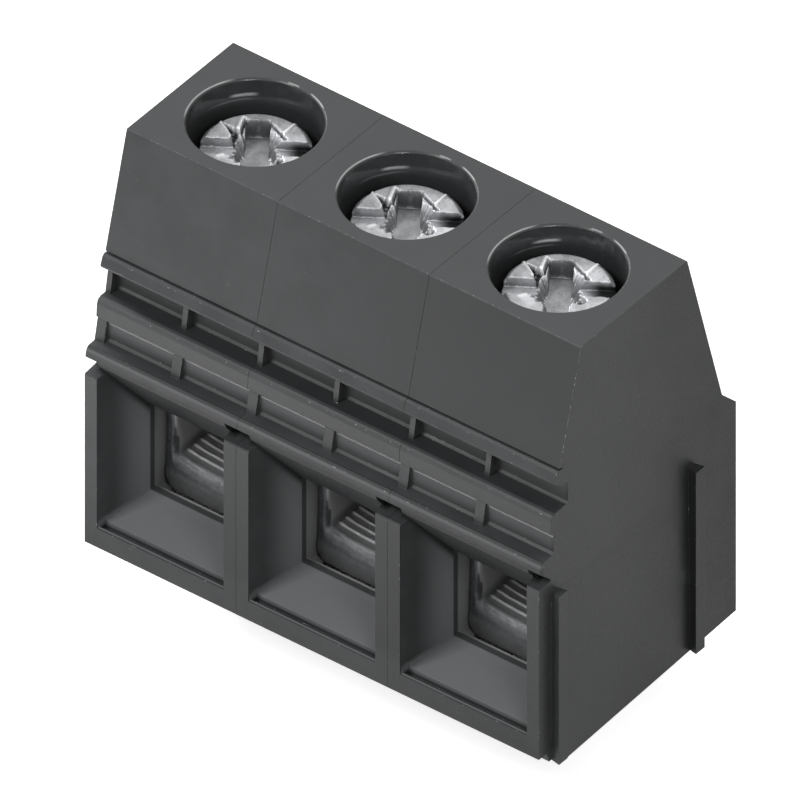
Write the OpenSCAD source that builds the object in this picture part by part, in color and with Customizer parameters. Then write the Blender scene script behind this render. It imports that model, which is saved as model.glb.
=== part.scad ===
// Three-pole screw terminal for a printed circuit board, with a clamping yoke in each pole.
// Millimetres. X runs along the row, -Y is the side where the wires enter, +Z is up.
// The origin is on the face that sits on the board, under the middle screw.

/* [Row] */
// distance from one pole to the next
pitch = 10.16; // [9.8:0.02:10.6]
// gap between two neighbouring pole housings
seam_gap = 0.02; // [0.01:0.01:0.06]

/* [Housing outline] */
// height of the housing above the board
body_h = 26.4; // [26.0:0.1:27.0]
// depth of the flat top face, front to back
top_depth = 9.26; // [9.1:0.02:9.6]
// how far the upper front face leans out at its foot
front_lean = 1.85; // [1.6:0.05:2.0]
// height of the foot of the upper front face
front_foot_z = 19.3; // [19.1:0.05:19.5]
// distance from the screw line to the back face
back_y = 8.85; // [8.7:0.05:9.1]
// height of the top of the upright back face
back_wall_z = 14.2; // [13.8:0.1:14.6]
// width and height of the slanted shoulder at the back
back_shoulder = 1.2; // [1.0:0.05:1.4]
// distance from the screw line to the front of the wire entry frame
frame_y = 8.29; // [8.2:0.01:8.4]
// height of the top of the wire entry frame
frame_top_z = 12.1; // [12.0:0.02:12.2]
// height of the underside of the wire entry frame above the board
frame_lift = 0.66; // [0.5:0.02:0.8]
// how far the underside of the frame reaches back
frame_lip = 0.66; // [0.5:0.02:0.8]

/* [Front ribs] */
// reach of the upper rib in front of the screw line
upper_rib_y = 6.92; // [6.85:0.01:7.0]
// reach of the middle rib in front of the screw line
middle_rib_y = 7.28; // [7.2:0.01:7.4]
// reach of the lower rib in front of the screw line
lower_rib_y = 8.23; // [8.15:0.01:8.28]
// depth of the upper channel floor in front of the screw line
upper_channel_y = 5.75; // [5.6:0.05:5.9]
// depth of the lower channel floor in front of the screw line
lower_channel_y = 6.99; // [6.9:0.01:7.05]
// small slope at the foot of both channel walls
channel_toe = 0.14; // [0.05:0.01:0.2]
// thickness of the webs in the upper channel
upper_web_t = 0.34; // [0.3:0.02:0.5]
// thickness of the webs in the lower channel
lower_web_t = 0.62; // [0.5:0.02:0.8]
// foot of the webs in the upper channel, in front of the screw line
upper_web_y = 6.5; // [6.4:0.05:6.6]
// foot of the webs in the lower channel, in front of the screw line
lower_web_y = 7.45; // [7.4:0.05:7.5]
// how far the front of a web leans back towards its top
web_lean = 0.32; // [0.2:0.02:0.35]

// height of the top of the upper rib
upper_rib_top = 19.2; // [19.1:0.02:19.2]
// height of the underside of the upper rib
upper_rib_low = 18.05; // [17.95:0.05:18.15]
// height of the top of the middle rib
middle_rib_top = 16.52; // [16.4:0.02:16.6]
// height of the underside of the middle rib
middle_rib_low = 14.95; // [14.85:0.05:15.05]
// height of the top of the lower rib
lower_rib_top = 13.85; // [13.75:0.05:13.95]
// height of the underside of the lower rib
lower_rib_low = 12.3; // [12.2:0.05:12.4]
// height of the entry roof at its front, under the nose of the lower rib
roof_z = 12.85; // [12.8:0.01:12.95]

/* [Joining ribs] */
// how far a joining rib stands out of the side
dovetail_h = 0.6; // [0.5:0.02:0.62]
// width of a joining rib at its outer face
dovetail_w = 0.78; // [0.7:0.02:0.82]
// width of a joining rib at its root
dovetail_root = 0.42; // [0.36:0.02:0.5]
// distance of the front joining rib in front of the screw line
dovetail_front = 6.93; // [6.85:0.01:7.0]
// distance of the back joining rib behind the screw line
dovetail_back = 4.97; // [4.9:0.01:5.1]
// clearance between a joining rib and its groove
dovetail_gap = 0.05; // [0.03:0.01:0.08]
// how far the free side of the last pole bows out at its lower front
side_bow = 0.55; // [0.4:0.05:0.55]

/* [Wire entry] */
// thickness of the frame walls beside the entry
frame_wall = 0.82; // [0.78:0.01:0.9]
// height of the bar under the entry
entry_bar = 1.27; // [1.2:0.01:1.35]
// width of the inner end of the entry
throat_w = 7.0; // [6.8:0.05:7.1]
// height of the lower edge of the inner end
throat_z = 2.65; // [2.6:0.01:2.75]
// height of the inner end
throat_h = 5.85; // [5.7:0.05:5.95]
// distance of the inner end in front of the screw line
throat_y = 4.63; // [4.55:0.01:4.7]
// thickness of the lip that stands in front of the groove
bar_edge = 0.2; // [0.15:0.05:0.3]
// width of the groove behind the lip
bar_groove = 0.5; // [0.4:0.05:0.6]
// thickness of the inner edge of the wire entry
lip_t = 0.4; // [0.3:0.05:0.6]

/* [Screw] */
// diameter of the screw well
well_d = 7.37; // [7.3:0.01:7.45]
// diameter of the screw head
head_d = 6.1; // [5.9:0.05:6.2]
// height of the screw head
head_h = 2.4; // [2.3:0.05:2.5]
// depth of the head below the top face
head_drop = 1.5; // [1.4:0.05:1.7]
// outside diameter of the thread
thread_d = 4.0; // [3.9:0.02:4.0]
// width of the slot
slot_w = 1.2; // [1.1:0.05:1.3]
// depth of the slot
slot_deep = 1.1; // [1.0:0.05:1.3]
// width of the cross arm
cross_w = 1.3; // [1.2:0.05:1.4]
// length of the cross arm
cross_len = 4.6; // [4.4:0.05:4.8]
// depth of the cross recess
cross_deep = 1.7; // [1.5:0.05:1.8]
// diameter of the round core of the recess at the top
core_d = 2.7; // [2.5:0.05:2.9]
// turn of the recess about the screw axis
recess_turn = 37.6; // [0:0.1:90]

/* [Yoke] */
// outside width of the yoke
yoke_w = 7.5; // [7.4:0.02:7.54]
// depth of the yoke, front to back
yoke_depth = 6.5; // [6.4:0.02:6.6]
// thickness of the yoke side walls
yoke_side = 0.9; // [0.85:0.01:0.95]
// height of the underside of the open yoke
yoke_z = 2.0; // [1.95:0.01:2.1]
// height of the clamping face of the open yoke
jaw_z = 3.83; // [3.75:0.01:3.9]
// thickness of the threaded top of the yoke
yoke_top_t = 2.6; // [2.4:0.05:2.7]
// radius of the hollow clamping face
jaw_r = 10.5; // [10:0.1:12]
// radius of the hollow in the front and back edges of the side walls
waist_r = 3.2; // [3.0:0.1:3.6]
// depth of that hollow
waist_deep = 0.8; // [0.6:0.05:0.9]
// distance between the grip grooves
grip_step = 0.62; // [0.58:0.01:0.66]
// depth of the grip grooves
grip_deep = 0.22; // [0.15:0.01:0.25]

/* [Current bar] */
// thickness of the bar
bar_t = 1.2; // [1.1:0.02:1.24]
// width of the contact limb inside the yoke
contact_w = 5.2; // [5.0:0.05:5.4]
// width of the base limb and the back limb
base_w = 6.6; // [6.5:0.02:6.7]
// distance from the screw line to the back of the bar
bar_back = 7.42; // [7.3:0.02:7.5]
// height of the underside of the contact limb
contact_z = 8.9; // [8.8:0.02:9.0]
// height of the underside of the base limb
base_z = 0.5; // [0.4:0.02:0.52]
// distance between the solder pins front to back
pin_step_y = 5.08; // [5.0:0.02:5.16]
// diameter of a solder pin
pin_d = 1.2; // [1.1:0.02:1.3]
// length of a solder pin below the board face
pin_len = 4.0; // [3.6:0.1:4.2]
// free space kept in the board face round the axis of a solder pin
pin_relief = 1.85; // [1.8:0.05:2.0]

/* [Fits] */
// radial clearance between the thread and the yoke
thread_gap = 0.04; // [0.03:0.01:0.06]
// radial clearance between the screw shank and the housing
shank_gap = 0.3; // [0.25:0.01:0.4]
// clearance between the yoke and its guide chamber
yoke_gap = 0.15; // [0.1:0.01:0.2]
// clearance between the current bar and the housing
bar_gap = 0.1; // [0.08:0.01:0.15]
// gap kept between the closed yoke and the contact limb
closed_gap = 0.2; // [0.15:0.01:0.3]

/* [Hidden] */
$fn = 64;
eps = 0.01;
half_pole = pitch / 2 - seam_gap / 2;
top_y = top_depth / 2;
contact_top = contact_z + bar_t;
base_top = base_z + bar_t;
window_top = contact_top + 0.2;
yoke_h = window_top + yoke_top_t - yoke_z;
jaw_edge_z = jaw_z + jaw_r - sqrt(jaw_r * jaw_r - contact_w * contact_w / 4);
travel = contact_z - closed_gap - jaw_edge_z;
chamber_w = yoke_w + 2 * yoke_gap;
chamber_y = yoke_depth / 2 + 2 * yoke_gap;
chamber_top = yoke_z + yoke_h + travel + 0.3;
head_z = body_h - head_drop - head_h;
well_floor = head_z - 0.3;
bar_front = yoke_depth / 2;
pocket_back = bar_back + bar_gap;
front_rib_top = 11.4;
roof_y = lower_rib_y - 0.12;
back_rib_top = 12.3;

// Housing
module pole_profile() {
  foot_y = top_y + front_lean;
  polygon([
    [-top_y, body_h], [-foot_y, front_foot_z],
    [-foot_y + 0.24, upper_rib_top + 0.07], [-foot_y + 0.24, upper_rib_top - 0.03],
    [-upper_rib_y + 0.34, upper_rib_top], [-upper_rib_y + 0.18, upper_rib_top - 0.12],
    [-upper_rib_y, upper_rib_top - 0.62],
    [-upper_rib_y + 0.03, upper_rib_low + 0.4], [-upper_rib_y + 0.6, upper_rib_low],
    [-upper_channel_y, upper_rib_low], [-upper_channel_y, middle_rib_top + channel_toe],
    [-upper_channel_y - channel_toe, middle_rib_top],
    [-middle_rib_y + 0.41, middle_rib_top], [-middle_rib_y + 0.24, middle_rib_top - 0.06],
    [-middle_rib_y + 0.11, middle_rib_top - 0.18], [-middle_rib_y + 0.05, middle_rib_top - 0.38],
    [-middle_rib_y, middle_rib_low + 0.4], [-middle_rib_y + 0.43, middle_rib_low],
    [-lower_channel_y, middle_rib_low], [-lower_channel_y, lower_rib_top + channel_toe],
    [-lower_channel_y - channel_toe, lower_rib_top],
    [-lower_rib_y + 0.29, lower_rib_top - 0.03], [-lower_rib_y + 0.13, lower_rib_top - 0.15],
    [-lower_rib_y + 0.04, lower_rib_top - 0.35],
    [-lower_rib_y, lower_rib_top - 0.65], [-lower_rib_y + 0.97, lower_rib_low],
    [-lower_rib_y + 0.97, frame_top_z + 0.1],
    [-frame_y + 0.06, frame_top_z], [-frame_y, frame_top_z - 0.08],
    [-frame_y, frame_lift], [-frame_y + frame_lip, frame_lift], [-frame_y + frame_lip + 0.23, 0],
    [back_y, 0], [back_y, back_wall_z],
    [back_y - back_shoulder, back_wall_z + back_shoulder], [top_y, body_h]
  ]);
}

// a bar along X cut from the side profile
module along_row(x0, x1) {
  translate([x0, 0, 0])
    rotate([90, 0, 90])
      linear_extrude(height = x1 - x0)
        children();
}

// upright webs between the ribs, leaning out towards their feet
module channel_webs() {
  for (x = [-half_pole, seam_gap / 2])
    for (w = [
      [upper_web_t, upper_web_y, upper_channel_y, middle_rib_top, upper_rib_low],
      [lower_web_t, lower_web_y, lower_channel_y, lower_rib_top, middle_rib_low]
    ])
      translate([x, 0, 0])
        rotate([90, 0, 90])
          linear_extrude(height = w[0])
            polygon([
              [-w[1], w[3] - 0.1], [-w[2] + 0.2, w[3] - 0.1],
              [-w[2] + 0.2, w[4] + 0.35], [-w[1] + web_lean, w[4] + 0.35]
            ]);
}

// solid above the wire entry, from the nose of the lower rib down to the throat
module entry_roof() {
  mouth_x = half_pole - frame_wall;
  along_row(-mouth_x, mouth_x)
    polygon([
      [-lower_rib_y, lower_rib_top - 0.65], [-roof_y, roof_z], [-throat_y, throat_z + throat_h],
      [-throat_y, lower_rib_top - 0.65]
    ]);
}

// frustum between the open mouth and the inner end of the wire entry
module entry_funnel() {
  mouth_x = half_pole - frame_wall;
  mouth_z0 = frame_lift + entry_bar;
  roof_slope = (roof_z - throat_z - throat_h) / (roof_y - throat_y);
  mouth_z1 = roof_z + (frame_y + eps - roof_y) * roof_slope;
  y0 = -frame_y - eps;
  y1 = -throat_y;
  tx = throat_w / 2;
  polyhedron(
    points = [
      [-mouth_x, y0, mouth_z0], [mouth_x, y0, mouth_z0], [mouth_x, y0, mouth_z1], [-mouth_x, y0, mouth_z1],
      [-tx, y1, throat_z], [tx, y1, throat_z], [tx, y1, throat_z + throat_h], [-tx, y1, throat_z + throat_h]
    ],
    faces = [[3, 2, 1, 0], [6, 7, 4, 5], [0, 1, 5, 4], [1, 2, 6, 5], [2, 3, 7, 6], [3, 0, 4, 7]]
  );
}

// small groove across the entry floor, right behind the front bar
module entry_groove() {
  mouth_x = half_pole - frame_wall;
  translate([-mouth_x, -frame_y + bar_edge, frame_lift + entry_bar - 0.35])
    cube([2 * mouth_x - 0.1, bar_groove, 1]);
}

module dovetail_shape(grow) {
  polygon([
    [-0.3, -dovetail_root / 2 - grow], [dovetail_h + grow, -dovetail_w / 2 - grow],
    [dovetail_h + grow, dovetail_w / 2 + grow], [-0.3, dovetail_root / 2 + grow]
  ]);
}

module joining_ribs() {
  translate([half_pole, -dovetail_front, 0])
    linear_extrude(height = front_rib_top)
      dovetail_shape(0);
  translate([half_pole, dovetail_back, 0])
    linear_extrude(height = back_rib_top)
      dovetail_shape(0);
}

module joining_grooves() {
  translate([-half_pole - seam_gap, -dovetail_front, -1])
    linear_extrude(height = front_rib_top + 1 + dovetail_gap)
      dovetail_shape(dovetail_gap);
  translate([-half_pole - seam_gap, dovetail_back, -1])
    linear_extrude(height = back_rib_top + 1 + dovetail_gap)
      dovetail_shape(dovetail_gap);
}

module inner_space() {
  // guide chamber of the yoke
  translate([-chamber_w / 2, -chamber_y, base_top - eps])
    cube([chamber_w, 2 * chamber_y, chamber_top - base_top + eps]);
  // inner end of the wire entry
  translate([-throat_w / 2, -throat_y - eps, throat_z])
    cube([throat_w, throat_y, throat_h]);
  // wider space between the lip of the entry and the yoke
  translate([-chamber_w / 2, -throat_y + lip_t, throat_z - 0.5])
    cube([chamber_w, throat_y - lip_t, throat_h + 1]);
  // pocket of the current bar, open to the board side
  translate([-base_w / 2 - bar_gap, -bar_front - bar_gap, -1])
    cube([base_w + 2 * bar_gap, pocket_back + bar_front + bar_gap, contact_top + 1 + bar_gap]);
  // relief in the board face round the solder pins
  translate([-base_w / 2 - bar_gap, -pin_step_y / 2 - pin_relief, -1])
    cube([base_w + 2 * bar_gap, pin_step_y + 2 * pin_relief, 1 + base_z]);
  // screw well
  translate([0, 0, well_floor])
    cylinder(h = body_h - well_floor + 1, d = well_d);
  translate([0, 0, body_h - 0.12])
    cylinder(h = 0.24, d1 = well_d, d2 = well_d + 0.48);
  // hole for the screw shank
  translate([0, 0, chamber_top - 1])
    cylinder(h = well_floor - chamber_top + 2, d = thread_d + 2 * shank_gap);
}

module pole_housing() {
  difference() {
    union() {
      along_row(-half_pole, half_pole)
        pole_profile();
      channel_webs();
      entry_roof();
      joining_ribs();
    }
    entry_funnel();
    entry_groove();
    inner_space();
    joining_grooves();
  }
}

// shallow bow on the free side of the last pole, deepest at its lower front
module bowed_side() {
  n = 8;
  y0 = back_y - 0.1;
  y1 = -dovetail_front + dovetail_w / 2;
  z1 = front_rib_top;
  outer = [for (i = [0:n]) for (j = [0:n])
    [half_pole + side_bow * i / n * (n - j) / n, y0 + (y1 - y0) * i / n, z1 * j / n]];
  inner = [for (i = [0:n]) for (j = [0:n])
    [half_pole - 0.4, y0 + (y1 - y0) * i / n, z1 * j / n]];
  m = n + 1;
  k = m * m;
  polyhedron(
    points = concat(outer, inner),
    faces = concat(
      [for (i = [0:n-1]) for (j = [0:n-1]) [i*m + j, (i+1)*m + j, (i+1)*m + j + 1]],
      [for (i = [0:n-1]) for (j = [0:n-1]) [i*m + j, (i+1)*m + j + 1, i*m + j + 1]],
      [for (i = [0:n-1]) for (j = [0:n-1]) [k + i*m + j, k + (i+1)*m + j + 1, k + (i+1)*m + j]],
      [for (i = [0:n-1]) for (j = [0:n-1]) [k + i*m + j, k + i*m + j + 1, k + (i+1)*m + j + 1]],
      [for (i = [0:n-1]) [i*m, k + i*m, k + (i+1)*m, (i+1)*m]],
      [for (i = [0:n-1]) [i*m + n, (i+1)*m + n, k + (i+1)*m + n, k + i*m + n]],
      [for (j = [0:n-1]) [j, j + 1, k + j + 1, k + j]],
      [for (j = [0:n-1]) [n*m + j, k + n*m + j, k + n*m + j + 1, n*m + j + 1]]
    )
  );
}

module housing_1() {
  color("#3a3b3d")
    translate([-pitch, 0, 0])
      pole_housing();
}

module housing_2() {
  color("#3a3b3d")
    pole_housing();
}

module housing_3() {
  color("#3a3b3d")
    translate([pitch, 0, 0]) {
      pole_housing();
      bowed_side();
    }
}

// Screw
module clamp_screw(x) {
  color("#b9bcbf")
    translate([x, 0, 0])
      difference() {
        union() {
          translate([0, 0, head_z])
            cylinder(h = head_h - 0.25, d = head_d);
          translate([0, 0, head_z + head_h - 0.25])
            cylinder(h = 0.25, d1 = head_d, d2 = head_d - 0.5);
          translate([0, 0, contact_top + 0.5])
            cylinder(h = head_z - contact_top, d = thread_d);
          translate([0, 0, contact_top])
            cylinder(h = 0.5, d1 = thread_d - 1, d2 = thread_d);
        }
        rotate([0, 0, recess_turn]) {
          translate([-head_d, -slot_w / 2, head_z + head_h - slot_deep])
            cube([2 * head_d, slot_w, slot_deep + 1]);
          translate([-cross_w / 2, -cross_len / 2, head_z + head_h - cross_deep])
            cube([cross_w, cross_len, cross_deep + 1]);
          translate([-cross_len / 2 + 0.6, -cross_w / 2, head_z + head_h - cross_deep])
            cube([cross_len - 1.2, cross_w, cross_deep + 1]);
          translate([0, 0, head_z + head_h - cross_deep])
            cylinder(h = cross_deep + eps, d1 = 0.7 * core_d, d2 = core_d);
          for (a = [45:90:315])
            rotate([0, 0, a])
              translate([core_d / 2 - 0.2, -0.09, head_z + head_h - 0.18])
                cube([0.95, 0.18, 1]);
        }
      }
}

// Yoke
module yoke_outline(w, h, r) {
  translate([-w / 2 + r, 0, 0])
    cube([w - 2 * r, yoke_depth, h]);
  translate([-w / 2, 0, r])
    cube([w, yoke_depth, h - 2 * r]);
  for (x = [-w / 2 + r, w / 2 - r])
    for (z = [r, h - r])
      translate([x, 0, z])
        rotate([-90, 0, 0])
          cylinder(h = yoke_depth, r = r);
}

module clamp_yoke(x) {
  window_w = yoke_w - 2 * yoke_side;
  color("#9a9da0")
    translate([x, -yoke_depth / 2, 0])
      difference() {
        translate([0, 0, yoke_z])
          yoke_outline(yoke_w, yoke_h, 0.9);
        translate([-window_w / 2, -eps, jaw_z + 0.38])
          cube([window_w, yoke_depth + 2 * eps, window_top - jaw_z - 0.38]);
        intersection() {
          translate([0, -eps, jaw_z + jaw_r])
            rotate([-90, 0, 0])
              cylinder(h = yoke_depth + 2 * eps, r = jaw_r, $fn = 128);
          translate([-window_w / 2, -eps, jaw_z - 1])
            cube([window_w, yoke_depth + 2 * eps, 3]);
        }
        for (i = [0:7])
          intersection() {
            translate([0, 1.1 + i * grip_step, jaw_z + jaw_r])
              rotate([-90, 0, 0])
                cylinder(h = grip_step / 2, r = jaw_r + grip_deep, $fn = 128);
            translate([-window_w / 2 + 0.5, 0, jaw_z - 1])
              cube([window_w - 1, yoke_depth, 2]);
          }
        for (y = [waist_deep - waist_r, yoke_depth - waist_deep + waist_r])
          translate([-yoke_w / 2 - 1, y, (jaw_z + contact_z) / 2 - 0.6])
            rotate([0, 90, 0])
              cylinder(h = yoke_w + 2, r = waist_r);
        translate([0, yoke_depth / 2, window_top - 1])
          cylinder(h = yoke_top_t + 2, d = thread_d + 2 * thread_gap);
      }
}

// Current bar
module current_bar(x) {
  color("#c9ccd0")
    translate([x, 0, 0]) {
      translate([-contact_w / 2, -bar_front, contact_z])
        cube([contact_w, bar_back + bar_front, bar_t]);
      translate([-base_w / 2, bar_back - bar_t, base_z])
        cube([base_w, bar_t, contact_top - base_z]);
      translate([-base_w / 2, -bar_front, base_z])
        cube([base_w, bar_back + bar_front, bar_t]);
      for (py = [-pin_step_y / 2, pin_step_y / 2]) {
        translate([0, py, -pin_len + 0.3])
          cylinder(h = pin_len + base_z, d = pin_d);
        translate([0, py, -pin_len])
          cylinder(h = 0.3, d1 = pin_d - 0.5, d2 = pin_d);
      }
    }
}

housing_1();
housing_2();
housing_3();
for (i = [0:2]) clamp_screw((i - 1) * pitch);
for (i = [0:2]) clamp_yoke((i - 1) * pitch);
for (i = [0:2]) current_bar((i - 1) * pitch);
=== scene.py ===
import math
import bpy
import numpy as np
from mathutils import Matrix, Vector


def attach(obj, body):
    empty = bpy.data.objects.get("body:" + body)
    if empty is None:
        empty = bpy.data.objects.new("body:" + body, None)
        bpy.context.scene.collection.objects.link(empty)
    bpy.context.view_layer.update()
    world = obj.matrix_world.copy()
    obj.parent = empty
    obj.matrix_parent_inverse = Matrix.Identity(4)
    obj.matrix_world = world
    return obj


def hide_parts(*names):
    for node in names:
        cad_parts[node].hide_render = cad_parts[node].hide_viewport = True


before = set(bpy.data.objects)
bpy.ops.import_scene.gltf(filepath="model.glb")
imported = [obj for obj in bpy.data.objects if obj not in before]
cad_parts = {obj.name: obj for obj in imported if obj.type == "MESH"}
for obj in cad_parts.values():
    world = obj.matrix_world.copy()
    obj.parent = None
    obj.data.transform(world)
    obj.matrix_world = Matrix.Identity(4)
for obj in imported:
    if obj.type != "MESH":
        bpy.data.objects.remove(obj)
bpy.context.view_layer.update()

mm = 0.001
pitch = 10.16  # millimetres from one screw to the next


def addObject(name, data):
    item = bpy.data.objects.new(name, data)
    bpy.context.scene.collection.objects.link(item)
    return item


def directionTo(azimuth, elevation):
    # degrees round from the wire side and up from the table
    a, e = math.radians(azimuth), math.radians(elevation)
    return Vector((math.sin(a) * math.cos(e), -math.cos(a) * math.cos(e), math.sin(e)))


def lookBack(item, back):
    # turns a camera or lamp that stands in the direction back towards the object
    item.rotation_mode = "QUATERNION"
    item.rotation_quaternion = (-back).to_track_quat("-Z", "Y")


# Camera: level and with a long lens, so the object is drawn without vanishing lines
cameraView = {
    "azimuth": 37.64, "elevation": 38.64,   # degrees round and above the object
    "width": 42.46 * mm,                    # what the picture takes in, side to side
    "anchor": (0.0, 0.37 * mm, 13.4 * mm),  # this point of the object ...
    "right": 0.601 * mm, "up": 0.915 * mm,  # ... sits this far from the picture's middle
    "distance": 0.4, "clip": (0.01, 3.0),
}


def makeCamera(c):
    a = math.radians(c["azimuth"])
    back = directionTo(c["azimuth"], c["elevation"])
    right = Vector((math.cos(a), math.sin(a), 0.0))
    up = back.cross(right)
    data = bpy.data.cameras.new("productCamera")
    data.type = "ORTHO"
    data.ortho_scale = c["width"]
    data.clip_start, data.clip_end = c["clip"]
    camera = addObject("productCamera", data)
    camera.location = Vector(c["anchor"]) - right * c["right"] - up * c["up"] + back * c["distance"]
    lookBack(camera, back)
    bpy.context.scene.camera = camera


makeCamera(cameraView)
print("camera placed")


# Small helpers for materials
def linearColour(hexText):
    # sRGB hex to the linear values that shaders take
    parts = [int(hexText[i:i + 2], 16) / 255 for i in (1, 3, 5)]
    return [p / 12.92 if p <= 0.04045 else ((p + 0.055) / 1.055) ** 2.4 for p in parts] + [1.0]


def addNode(tree, kind, links=None, values=None, **settings):
    # one node: settings are its own properties, values its sockets, links where its inputs come from
    node = tree.nodes.new(kind)
    for key, value in settings.items():
        setattr(node, key, value)
    for key, value in (values or {}).items():
        node.inputs[key].default_value = value
    for key, source in (links or {}).items():
        tree.links.new(source, node.inputs[key])
    return node


def newMaterial(name):
    material = bpy.data.materials.new(name)
    material.use_nodes = True
    tree = material.node_tree
    tree.nodes.clear()
    shader = addNode(tree, "ShaderNodeBsdfPrincipled")
    addNode(tree, "ShaderNodeOutputMaterial", {"Surface": shader.outputs["BSDF"]})
    place = addNode(tree, "ShaderNodeTexCoord").outputs["Object"]
    return material, tree, shader, place


def addBump(tree, shader, height, strength, distanceMm):
    bump = addNode(tree, "ShaderNodeBump", {"Height": height},
                   {"Strength": strength, "Distance": distanceMm * mm})
    tree.links.new(bump.outputs["Normal"], shader.inputs["Normal"])


def noiseAt(tree, place, sizeMm, detail=3.0, rough=0.5):
    # value noise whose blotches are about sizeMm across
    return addNode(tree, "ShaderNodeTexNoise", {"Vector": place},
                   {"Scale": 1 / (sizeMm * mm), "Detail": detail, "Roughness": rough}).outputs["Fac"]


def combine(tree, operation, a, b=0.0):
    # one sum in the shader: a and b are sockets or plain numbers
    node = addNode(tree, "ShaderNodeMath", operation=operation)
    for socket, value in zip(node.inputs, (a, b)):
        if isinstance(value, (int, float)):
            socket.default_value = value
        else:
            tree.links.new(value, socket)
    return node.outputs[0]


def product(tree, *factors):
    result = factors[0]
    for factor in factors[1:]:
        result = combine(tree, "MULTIPLY", result, factor)
    return result


def largest(tree, *values):
    result = values[0]
    for value in values[1:]:
        result = combine(tree, "MAXIMUM", result, value)
    return result


def stretch(tree, value, low, high, toLow, toHigh):
    # maps low..high onto toLow..toHigh with soft ends
    return addNode(tree, "ShaderNodeMapRange", {"Value": value},
                   {"From Min": low, "From Max": high, "To Min": toLow, "To Max": toHigh},
                   interpolation_type="SMOOTHSTEP").outputs["Result"]


def above(tree, value, start, end):
    # 0 up to start, 1 from end on
    return stretch(tree, value, start, end, 0.0, 1.0)


def below(tree, value, start, end, strength=1.0):
    # strength up to start, 0 from end on
    return stretch(tree, value, start, end, strength, 0.0)


def band(tree, value, first, last, core, strength=1.0):
    # strength round the middle of first..last, fading from core, a share of the width, to 0 at both ends
    away = combine(tree, "ABSOLUTE", combine(tree, "SUBTRACT", value, (first + last) / 2))
    return below(tree, away, core * (last - first), 0.5 * (last - first), strength)


def boxMask(tree, axes, low, high, lowEdges, highEdges):
    # 1 inside a box, fading over its own width at each of its six sides
    sides = []
    for value, a, b, aEdge, bEdge in zip(axes, low, high, lowEdges, highEdges):
        sides += [above(tree, value, a, a + aEdge), below(tree, value, b - bEdge, b)]
    return product(tree, *sides)


def mixColours(tree, factor, first, second):
    # first and second are hex texts or sockets
    node = addNode(tree, "ShaderNodeMix", {"Factor": factor}, data_type="RGBA")
    for socket, value in ((node.inputs[6], first), (node.inputs[7], second)):
        if isinstance(value, str):
            socket.default_value = linearColour(value)
        else:
            tree.links.new(value, socket)
    return node.outputs[2]


# Housing: glass filled polyamide, injection moulded in a spark eroded mould.
# The outside is satin with a fine grain and a faint cloudiness, the screw wells are polished.
# Lengths and places are in millimetres. A pair tells where the soft edge of a shade starts and ends, and a
# third number in it its strength. A span tells between which noise values a pattern sets in.
polyamide = {
    "base": "#3a3b3c",
    "cloud": "#424344", "cloudMm": 3.2, "cloudSpan": (0.35, 0.65),  # faint cloudy patches
    "speck": "#5a5b5c", "speckMm": 0.30, "speckSpan": (0.74, 0.80), "specks": 0.5,  # filler at the skin
    "grainMm": 0.16,  # grain of the mould, drawn coarser than its real 0.05, so that it shows
    "grainStrength": 0.25, "grainDepthMm": 0.02,
    "roughSpan": (0.3, 0.7), "roughOfGrain": (-0.05, 0.05), "roughOfCloud": (0.40, 0.49),
    "index": 1.53,
    "shine": 0.27,  # the glass fibres just under the skin dull its reflection
    # painted light and shade, where colour stands in for how the light falls, as boxes: corner, corner,
    # soft edge at each, shade, strength
    "paintedLightAndShade": {
        # painted light in the channels and on the lower channel's top
        "upper channel": ((-15.1, -5.9, 16.62), (15.1, -5.6, 18.1),
                          (0.1, 0.03, 0.1), (0.1, 0.1, 0.1), "#4e4f50", 0.9),
        "lower channel": ((-15.1, -7.1, 13.95), (15.1, -6.9, 14.94),
                          (0.1, 0.03, 0.1), (0.1, 0.1, 0.02), "#4e4f50", 0.9),
        "lower channel's top": ((-15.2, -7.00, 14.94), (15.2, -6.83, 15.1),
                                (0.1, 0.02, 0.01), (0.1, 0.02, 0.02), "#c8c9ca", 1.0),
        # painted shade on the middle rib
        "middle rib": ((-15.2, -6.95, 16.3), (15.2, -5.7, 16.6),
                       (0.1, 0.1, 0.1), (0.1, 0.1, 0.02), "#262728", 0.6),
        # painted light on the top face
        "top": ((-20, -20, 26.35), (20, 20, 28), (1, 1, 0.03), (1, 1, 1), "#474849", 0.8),
        # painted shade: the end wall darker towards the back, and the front slope and the posts between the
        # funnels darker
        "end wall": ((15.2, -4, -1), (17, 20, 28), (0.02, 12, 0.5), (1, 1, 1), "#252627", 0.9),
        "slope": ((-12, -9, 19.3), (15.2, -3.85, 26.34),
                  (26, 0.1, 0.1), (0.02, 0.1, 0.05), "#313233", 1.0),
        "posts": ((-10, -8.35, 2.6), (10, -8.2, 12.2), (1, 0.02, 0.8), (1, 0.02, 0.4), "#333435", 0.8),
    },
}

# polished screw well, with painted shade in it, painted reflections on the back of its wall and painted
# highlights on its rim. These are placed by the angle round the screw, 0 straight away from the wire side.
well = {
    "shade": "#2c2d2e", "radius": (3.70, 3.76), "floor": (21.5, 21.8), "gloss": 0.6, "roughness": 0.12,
    # colour of the painted reflections on the wall, and the share of their width at full strength round and
    # in height
    "paintedGlint": "#b4b5b6", "reflectionCores": (0.2, 0.1),
    # painted reflections on the wall: two angles, two heights, strength
    "paintedReflections": [(0.58, 1.08, 25.21, 25.50, 1.0), (0.60, 1.50, 24.94, 25.14, 0.22)],
    "streakMm": 0.9, "streakFlat": (1.0, 1.0, 9.0),  # squeezed in height, so that the streaks lie flat
    "streakSpan": (0.3, 0.6), "streakLow": 0.4,
    # colour and place of the painted highlights on the rim
    "rim": "#b9babb", "rimRadius": (3.82, 3.85), "rimHeight": (26.345, 26.365), "rimCore": 0.3,
    # painted highlights on parts of the rim: two angles, strength
    "rimHighlights": [(0.90, 2.20, 0.9), (-0.02, 0.20, 0.6), (-0.62, -0.2, 0.7)],
}
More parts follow.
